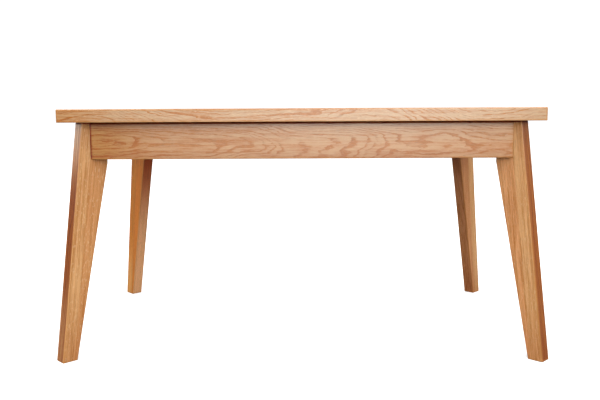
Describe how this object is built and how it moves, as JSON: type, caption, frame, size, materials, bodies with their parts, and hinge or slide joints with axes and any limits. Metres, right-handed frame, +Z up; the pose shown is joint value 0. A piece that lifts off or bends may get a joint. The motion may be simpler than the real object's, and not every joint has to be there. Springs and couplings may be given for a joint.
{
  "type": "solid wood table",
  "caption": "Rectangular solid oak table with a stave-glued top, an apron frame and splayed, tapered plank legs set on the corner diagonals.",
  "frame": {"origin": "on the floor, under the middle of the table", "axes": "+X along the table's length to the right, -Y the front, +Z up"},
  "size_m": [1.4596, 0.8596, 0.74],
  "materials": {
    "oak_top": "oiled oak, satin",
    "oak_apron": "oiled oak, satin",
    "oak_leg": "oiled oak, satin",
    "inside_wood": "planed, unfinished",
    "zinc_steel": "zinc plated"
  },
  "bodies": {
    "root": {"tabletop_stave_1": "oak_top", "tabletop_stave_2": "oak_top", "tabletop_stave_3": "oak_top", "tabletop_stave_4": "oak_top", "tabletop_stave_5": "oak_top", "tabletop_stave_6": "oak_top", "tabletop_stave_7": "oak_top", "tabletop_stave_8": "oak_top", "front_apron": "oak_apron", "back_apron": "oak_apron", "left_apron": "oak_apron", "right_apron": "oak_apron", "leg_front_left_outer_stave": "oak_leg", "leg_front_left_inner_stave": "oak_leg", "leg_front_right_outer_stave": "oak_leg", "leg_front_right_inner_stave": "oak_leg", "leg_back_left_outer_stave": "oak_leg", "leg_back_left_inner_stave": "oak_leg", "leg_back_right_outer_stave": "oak_leg", "leg_back_right_inner_stave": "oak_leg", "corner_block_front_left": "inside_wood", "corner_block_front_right": "inside_wood", "corner_block_back_left": "inside_wood", "corner_block_back_right": "inside_wood", "cross_rail_left": "inside_wood", "cross_rail_right": "inside_wood", "top_buttons": "inside_wood", "button_screws": "zinc_steel", "rail_screws": "zinc_steel", "block_screws": "zinc_steel", "hanger_bolts": "zinc_steel", "washers": "zinc_steel", "hex_nuts": "zinc_steel"}
  },
  "joints": []
}
